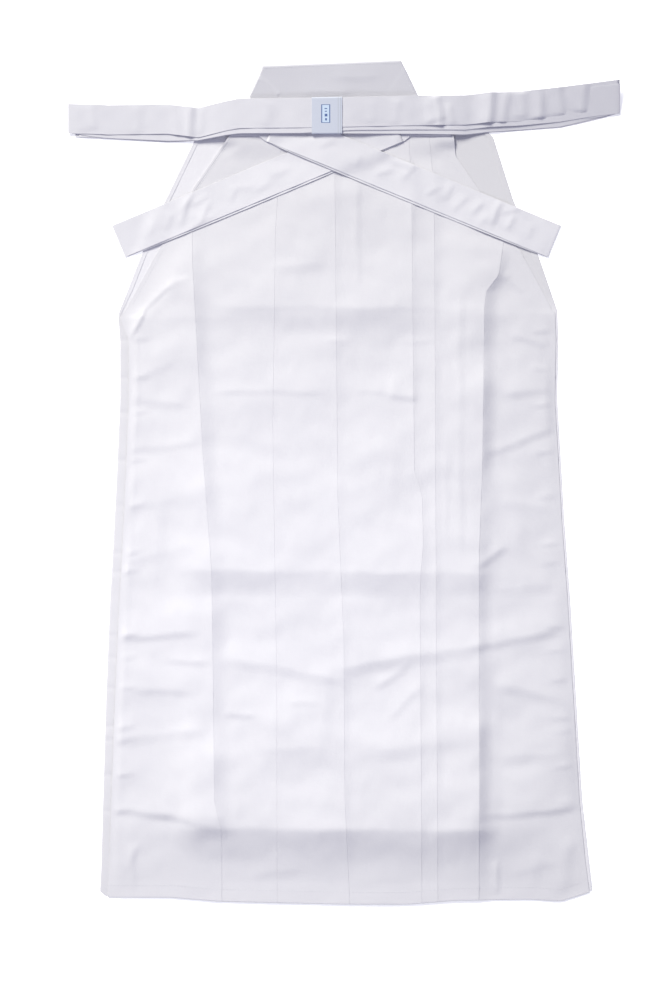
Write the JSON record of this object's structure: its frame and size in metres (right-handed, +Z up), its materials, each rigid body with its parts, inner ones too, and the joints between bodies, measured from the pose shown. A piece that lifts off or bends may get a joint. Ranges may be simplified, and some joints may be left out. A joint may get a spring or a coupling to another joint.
{
  "type": "pleated hakama trousers",
  "caption": "White pleated hakama trousers laid flat, front side up, with a stiff trapezoid back board, crossed back ties and long front ties folded in a stack over the waist.",
  "frame": {"origin": "on the surface the garment lies on, at the middle of its outline", "axes": "+X to the viewer's right, +Y from the hem to the waist, +Z up out of the surface"},
  "size_m": [0.6623, 1.0123, 0.0243],
  "materials": {
    "panel_cloth": "matt plain-woven white cotton, slightly cool",
    "tie_cloth": "matt plain-woven white cotton, several layers sewn flat",
    "board_cloth": "white cotton drawn over a stiff board",
    "label_cloth": "pale blue smooth band"
  },
  "bodies": {
    "root": {"back_board": "board_cloth", "back_left": "panel_cloth", "back_right": "panel_cloth", "back_tie_left": "tie_cloth", "back_tie_right": "tie_cloth", "front_left": "panel_cloth", "front_right": "panel_cloth", "front_tie_left": "tie_cloth", "front_tie_right": "tie_cloth", "gusset_left": "panel_cloth", "gusset_right": "panel_cloth", "label_band": "label_cloth", "waistband": "panel_cloth"}
  },
  "joints": []
}
